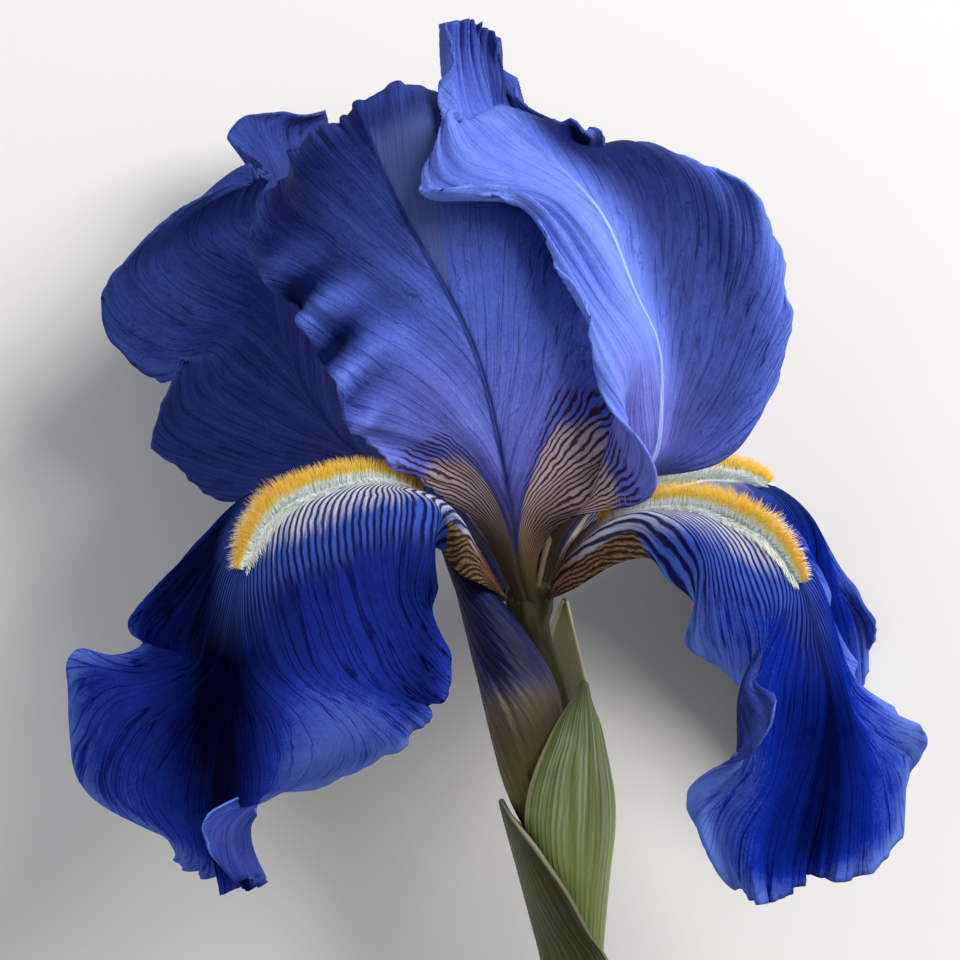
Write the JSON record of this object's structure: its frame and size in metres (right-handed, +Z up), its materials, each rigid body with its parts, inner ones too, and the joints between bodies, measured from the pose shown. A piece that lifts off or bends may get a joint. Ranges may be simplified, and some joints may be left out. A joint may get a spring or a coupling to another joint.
{
  "type": "iris flower",
  "caption": "Cut bearded iris bloom with upright standards, drooping bearded falls, a furled bud and green bracts on a short stem, lying on its back.",
  "frame": {"origin": "centre of the footprint's box, on the surface that the flower lies on", "axes": "+Z up from the surface; +Y along the stem towards the bloom, the flower's long direction; +X to the flower's right as its face is seen from above"},
  "size_m": [0.1278, 0.25, 0.0832],
  "materials": {
    "standard_petal": "thin satin petal, periwinkle blue with darker veins",
    "fall_petal": "velvety petal, deep ultramarine with white and maroon veining at its haft",
    "beard_hair": "soft fuzzy hairs, pale at the root and golden at the tip",
    "style_arm": "thin satin petal, violet with brown veins",
    "stamen": "matte cream",
    "ovary": "smooth dark olive plant flesh",
    "bud": "furled petals, navy fading to olive brown",
    "bract": "ribbed green leaf with a waxy bloom",
    "papery_bract": "dry papery leaf edge",
    "stem": "smooth green stem with a waxy bloom"
  },
  "bodies": {
    "root": {"standard_front": "standard_petal", "standard_left": "standard_petal", "standard_right": "standard_petal", "fall_left": "fall_petal", "fall_right": "fall_petal", "fall_back": "fall_petal", "beard_left": "beard_hair", "beard_right": "beard_hair", "beard_back": "beard_hair", "style_arm_left": "style_arm", "style_arm_right": "style_arm", "style_arm_back": "style_arm", "stamen_left": "stamen", "stamen_right": "stamen", "stamen_back": "stamen", "ovary": "ovary", "bud": "bud", "bract_front": "bract", "bract_rear": "papery_bract", "stem_sheath": "bract", "stem": "stem"}
  },
  "joints": []
}
